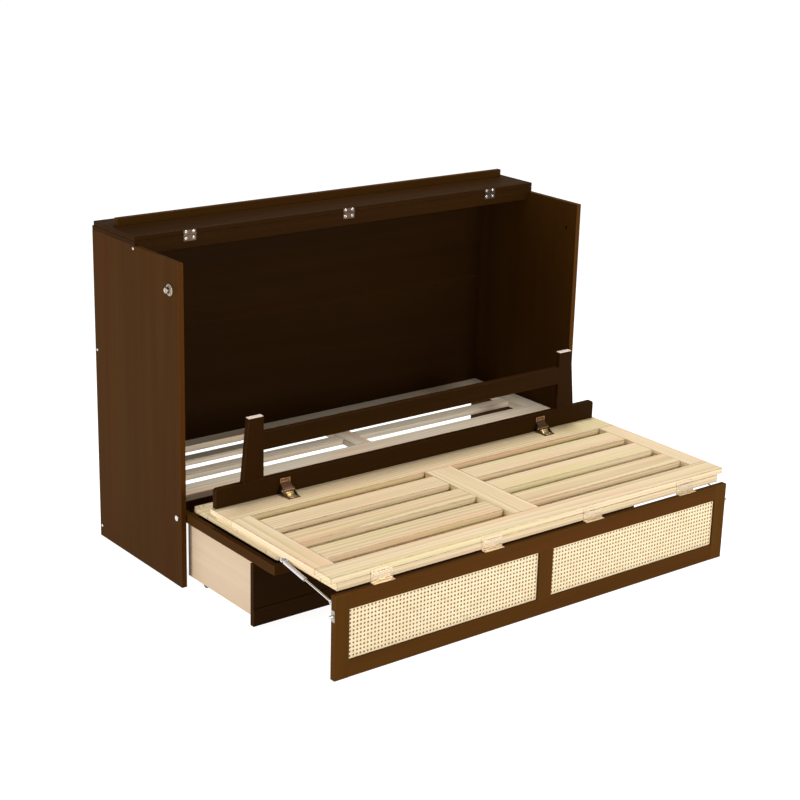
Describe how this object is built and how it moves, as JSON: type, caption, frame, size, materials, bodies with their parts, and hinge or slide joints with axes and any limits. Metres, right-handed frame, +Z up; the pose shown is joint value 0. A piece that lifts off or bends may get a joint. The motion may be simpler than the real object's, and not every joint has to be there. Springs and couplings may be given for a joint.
{
  "type": "murphy wall bed",
  "caption": "Cabinet fold-out bed with a slatted three-part platform, hinged lid, cane front panel and rolling drawer.",
  "frame": {"origin": "on the floor, at the middle of the footprint with the lid folded back, the front let down and the drawer out", "axes": "+X to the right as seen from the foot, -Y towards the foot, +Z up"},
  "size_m": [1.672, 1.324, 1.1119],
  "materials": {
    "dark_wood": "espresso-stained, satin lacquer",
    "light_wood": "planed pine, clear satin",
    "cane": "woven natural cane webbing",
    "nickel": "nickel plated",
    "bronze": "antique bronze plated",
    "glide": "moulded nylon",
    "drawer_board": "pale laminated board",
    "caster": "moulded black",
    "spring_body": "light grey enamel",
    "spring_rod": "polished"
  },
  "bodies": {
    "cabinet": {"side_panel_left": "dark_wood", "side_panel_right": "dark_wood", "back_panels": "dark_wood", "fixed_top": "dark_wood", "top_apron": "dark_wood", "rear_rails": "dark_wood", "head_ledgers": "dark_wood", "front_cross_rail": "dark_wood", "head_frame_rails": "light_wood", "head_frame_slats": "light_wood", "pivot_bolts": "nickel", "screw_caps": "nickel", "latch_escutcheons": "nickel", "lid_hinge_fixed_leaves": "nickel"},
    "lid": {"lid_panel": "dark_wood", "lid_batten": "dark_wood", "lid_hinge_moving_leaves": "nickel"},
    "front_section": {"mid_side_rails": "dark_wood", "mid_front_rail": "dark_wood", "mid_underside_board": "dark_wood", "mid_deck": "light_wood", "mid_frame_rails": "light_wood", "mid_frame_slats": "light_wood", "foot_hinge_lower_leaves": "nickel", "panel_hinge_upper_leaves": "nickel", "gas_spring_upper_studs": "spring_body"},
    "foot_section": {"foot_frame_rails": "light_wood", "foot_frame_slats": "light_wood", "foot_hinge_upper_leaves": "nickel", "leg_bracket_bases": "bronze"},
    "leg_frame": {"leg_board": "dark_wood", "legs": "dark_wood", "leg_stretcher": "dark_wood", "leg_glides": "glide", "leg_bracket_leaves": "bronze"},
    "cane_panel": {"panel_rails": "dark_wood", "panel_stiles": "dark_wood", "cane_webbing": "cane", "panel_hinge_lower_leaves": "nickel", "lock_bolt_plates": "nickel", "gas_spring_lower_studs": "spring_body"},
    "drawer": {"drawer_front": "dark_wood", "drawer_kick_rail": "dark_wood", "drawer_sides": "drawer_board", "drawer_back": "drawer_board", "drawer_bottom": "drawer_board", "caster_forks": "caster"},
    "wheel_front_left": {"caster_wheel_front_left": "caster"},
    "wheel_front_right": {"caster_wheel_front_right": "caster"},
    "wheel_rear_left": {"caster_wheel_rear_left": "caster"},
    "wheel_rear_right": {"caster_wheel_rear_right": "caster"},
    "spring_cylinder_left": {"gas_cylinder_left": "spring_body"},
    "spring_rod_left": {"gas_rod_left": "spring_rod"},
    "side_button_left": {"latch_button_left": "nickel"},
    "panel_bolt_left": {"lock_bolt_left": "nickel"},
    "spring_cylinder_right": {"gas_cylinder_right": "spring_body"},
    "spring_rod_right": {"gas_rod_right": "spring_rod"},
    "side_button_right": {"latch_button_right": "nickel"},
    "panel_bolt_right": {"lock_bolt_right": "nickel"}
  },
  "joints": [
    {"name": "lid_close", "type": "hinge", "parent": "cabinet", "child": "lid", "pos_m": [0, 0.391, 1.0706], "axis": [-1, 0, 0], "range_deg": [-180, 0]},
    {"name": "front_fold", "type": "hinge", "parent": "cabinet", "child": "front_section", "pos_m": [0, 0.157, 0.23], "axis": [1, 0, 0], "range_deg": [-90, 0]},
    {"name": "foot_section_unfold", "type": "hinge", "parent": "front_section", "child": "foot_section", "pos_m": [0, -0.642, 0.29125], "axis": [1, 0, 0], "range_deg": [0, 180]},
    {"name": "leg_fold", "type": "hinge", "parent": "foot_section", "child": "leg_frame", "pos_m": [0, -0.038, 0.327], "axis": [-1, 0, 0], "range_deg": [-90, 0]},
    {"name": "cane_panel_fold", "type": "hinge", "parent": "front_section", "child": "cane_panel", "pos_m": [0, -0.642, 0.2655], "axis": [-1, 0, 0], "range_deg": [-90, 0]},
    {"name": "drawer_slide", "type": "slide", "parent": "cabinet", "child": "drawer", "axis": [0, -1, 0], "range_m": [-0.38, 0]},
    {"name": "caster_front_left_roll", "type": "hinge", "parent": "drawer", "child": "wheel_front_left", "pos_m": [-0.75, -0.185, 0.016], "axis": [1, 0, 0], "continuous": true},
    {"name": "caster_front_right_roll", "type": "hinge", "parent": "drawer", "child": "wheel_front_right", "pos_m": [0.75, -0.185, 0.016], "axis": [1, 0, 0], "continuous": true},
    {"name": "caster_rear_left_roll", "type": "hinge", "parent": "drawer", "child": "wheel_rear_left", "pos_m": [-0.75, 0.092, 0.016], "axis": [1, 0, 0], "continuous": true},
    {"name": "caster_rear_right_roll", "type": "hinge", "parent": "drawer", "child": "wheel_rear_right", "pos_m": [0.75, 0.092, 0.016], "axis": [1, 0, 0], "continuous": true},
    {"name": "gas_spring_left_swing", "type": "hinge", "parent": "front_section", "child": "spring_cylinder_left", "pos_m": [-0.788, -0.383, 0.2735], "axis": [1, 0, 0], "range_deg": [-10.4, 0]},
    {"name": "gas_spring_left_stroke", "type": "slide", "parent": "spring_cylinder_left", "child": "spring_rod_left", "axis": [0, -0.9874, -0.1585], "range_m": [-0.02165, 0]},
    {"name": "gas_spring_right_swing", "type": "hinge", "parent": "front_section", "child": "spring_cylinder_right", "pos_m": [0.788, -0.383, 0.2735], "axis": [1, 0, 0], "range_deg": [-10.4, 0]},
    {"name": "gas_spring_right_stroke", "type": "slide", "parent": "spring_cylinder_right", "child": "spring_rod_right", "axis": [0, -0.9874, -0.1585], "range_m": [-0.02165, 0]},
    {"name": "side_button_left_push", "type": "slide", "parent": "cabinet", "child": "side_button_left", "axis": [1, 0, 0], "range_m": [0, 0.007], "stiffness_N_per_m": 400},
    {"name": "panel_bolt_left_slide", "type": "slide", "parent": "cane_panel", "child": "panel_bolt_left", "axis": [-1, 0, 0], "range_m": [-0.0135, 0], "stiffness_N_per_m": 300},
    {"name": "side_button_right_push", "type": "slide", "parent": "cabinet", "child": "side_button_right", "axis": [-1, 0, 0], "range_m": [0, 0.007], "stiffness_N_per_m": 400},
    {"name": "panel_bolt_right_slide", "type": "slide", "parent": "cane_panel", "child": "panel_bolt_right", "axis": [1, 0, 0], "range_m": [-0.0135, 0], "stiffness_N_per_m": 300}
  ],
  "couplings": [
    {"joint": "gas_spring_left_swing", "follows": "cane_panel_fold", "ratio": 0.11535},
    {"joint": "gas_spring_left_stroke", "follows": "cane_panel_fold", "m_per_rad": 0.013749},
    {"joint": "gas_spring_right_swing", "follows": "cane_panel_fold", "ratio": 0.11535},
    {"joint": "gas_spring_right_stroke", "follows": "cane_panel_fold", "m_per_rad": 0.013749}
  ]
}
